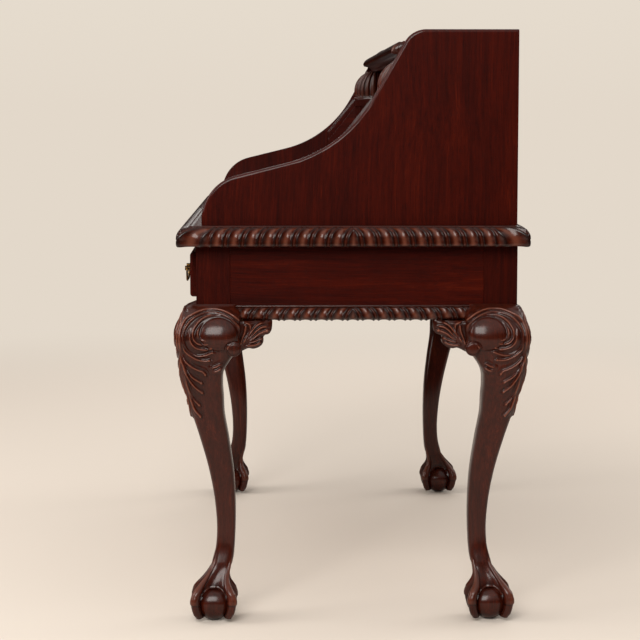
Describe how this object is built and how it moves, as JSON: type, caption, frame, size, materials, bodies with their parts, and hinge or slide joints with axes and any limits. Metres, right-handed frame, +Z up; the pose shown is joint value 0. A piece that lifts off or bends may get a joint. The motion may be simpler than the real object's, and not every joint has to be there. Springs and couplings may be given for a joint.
{
  "type": "carlton house desk",
  "caption": "Writing desk on cabriole legs with ball and claw feet, frieze drawers, and a stepped gallery of small drawers and pigeonholes between scooped end panels.",
  "frame": {"origin": "on the floor under the centre of the desk's bounding box", "axes": "+Z up, front faces -Y, +X along the desk's width"},
  "size_m": [1.3924, 0.674, 1.1274],
  "materials": {
    "mahogany": "polished red mahogany",
    "drawer_lining": "planed oak, waxed",
    "brass": "antiqued brass",
    "leather": "tooled hide"
  },
  "bodies": {
    "frame": {"leg_front_left": "mahogany", "leg_front_right": "mahogany", "leg_back_left": "mahogany", "leg_back_right": "mahogany", "knee_brackets": "mahogany", "side_rails": "mahogany", "back_rail": "mahogany", "front_rails": "mahogany", "back_false_fronts": "mahogany", "apron_mouldings": "mahogany", "table_top": "mahogany", "table_edge_mouldings": "mahogany", "gallery_side_left": "mahogany", "gallery_side_right": "mahogany", "gallery_floor": "mahogany", "gallery_back": "mahogany", "gallery_shelf": "mahogany", "gallery_top": "mahogany", "wing_tops": "mahogany", "tier_partitions": "mahogany", "pigeonhole_dividers": "mahogany", "upper_pilasters": "mahogany", "corbels": "mahogany", "cornice_moulding": "mahogany", "drawer_runners": "drawer_lining", "writing_leather": "leather"},
    "drawer_left": {"drawer_left_front": "mahogany", "drawer_left_box": "drawer_lining", "drawer_left_bottom": "drawer_lining", "drawer_left_pull_plate": "brass"},
    "bail_left": {"bail_left": "brass"},
    "drawer_centre": {"drawer_centre_front": "mahogany", "drawer_centre_box": "drawer_lining", "drawer_centre_bottom": "drawer_lining", "drawer_centre_pull_plate": "brass"},
    "bail_centre_left": {"bail_centre_left": "brass"},
    "bail_centre_right": {"bail_centre_right": "brass"},
    "drawer_right": {"drawer_right_front": "mahogany", "drawer_right_box": "drawer_lining", "drawer_right_bottom": "drawer_lining", "drawer_right_pull_plate": "brass"},
    "bail_right": {"bail_right": "brass"},
    "tier_drawer_lower_left": {"tier_drawer_lower_left_front": "mahogany", "tier_drawer_lower_left_box": "drawer_lining", "tier_drawer_lower_left_knob": "brass"},
    "tier_drawer_upper_left": {"tier_drawer_upper_left_front": "mahogany", "tier_drawer_upper_left_box": "drawer_lining", "tier_drawer_upper_left_knob": "brass"},
    "wing_drawer_left": {"wing_drawer_left_front": "mahogany", "wing_drawer_left_box": "drawer_lining", "wing_drawer_left_knob": "brass"},
    "tier_drawer_lower_right": {"tier_drawer_lower_right_front": "mahogany", "tier_drawer_lower_right_box": "drawer_lining", "tier_drawer_lower_right_knob": "brass"},
    "tier_drawer_upper_right": {"tier_drawer_upper_right_front": "mahogany", "tier_drawer_upper_right_box": "drawer_lining", "tier_drawer_upper_right_knob": "brass"},
    "wing_drawer_right": {"wing_drawer_right_front": "mahogany", "wing_drawer_right_box": "drawer_lining", "wing_drawer_right_knob": "brass"}
  },
  "joints": [
    {"name": "drawer_left_slide", "type": "slide", "parent": "frame", "child": "drawer_left", "axis": [0, -1, 0], "range_m": [0, 0.42]},
    {"name": "bail_left_swing", "type": "hinge", "parent": "drawer_left", "child": "bail_left", "pos_m": [-0.4345, -0.3205, 0.66695], "axis": [-1, 0, 0], "range_deg": [0, 85]},
    {"name": "drawer_centre_slide", "type": "slide", "parent": "frame", "child": "drawer_centre", "axis": [0, -1, 0], "range_m": [0, 0.42]},
    {"name": "bail_centre_left_swing", "type": "hinge", "parent": "drawer_centre", "child": "bail_centre_left", "pos_m": [-0.15, -0.3205, 0.66695], "axis": [-1, 0, 0], "range_deg": [0, 85]},
    {"name": "bail_centre_right_swing", "type": "hinge", "parent": "drawer_centre", "child": "bail_centre_right", "pos_m": [0.15, -0.3205, 0.66695], "axis": [-1, 0, 0], "range_deg": [0, 85]},
    {"name": "drawer_right_slide", "type": "slide", "parent": "frame", "child": "drawer_right", "axis": [0, -1, 0], "range_m": [0, 0.42]},
    {"name": "bail_right_swing", "type": "hinge", "parent": "drawer_right", "child": "bail_right", "pos_m": [0.4345, -0.3205, 0.66695], "axis": [-1, 0, 0], "range_deg": [0, 85]},
    {"name": "tier_drawer_lower_left_slide", "type": "slide", "parent": "frame", "child": "tier_drawer_lower_left", "axis": [0, -1, 0], "range_m": [0, 0.17]},
    {"name": "tier_drawer_upper_left_slide", "type": "slide", "parent": "frame", "child": "tier_drawer_upper_left", "axis": [0, -1, 0], "range_m": [0, 0.17]},
    {"name": "wing_drawer_left_slide", "type": "slide", "parent": "frame", "child": "wing_drawer_left", "axis": [0, -1, 0], "range_m": [0, 0.22]},
    {"name": "tier_drawer_lower_right_slide", "type": "slide", "parent": "frame", "child": "tier_drawer_lower_right", "axis": [0, -1, 0], "range_m": [0, 0.17]},
    {"name": "tier_drawer_upper_right_slide", "type": "slide", "parent": "frame", "child": "tier_drawer_upper_right", "axis": [0, -1, 0], "range_m": [0, 0.17]},
    {"name": "wing_drawer_right_slide", "type": "slide", "parent": "frame", "child": "wing_drawer_right", "axis": [0, -1, 0], "range_m": [0, 0.22]}
  ]
}
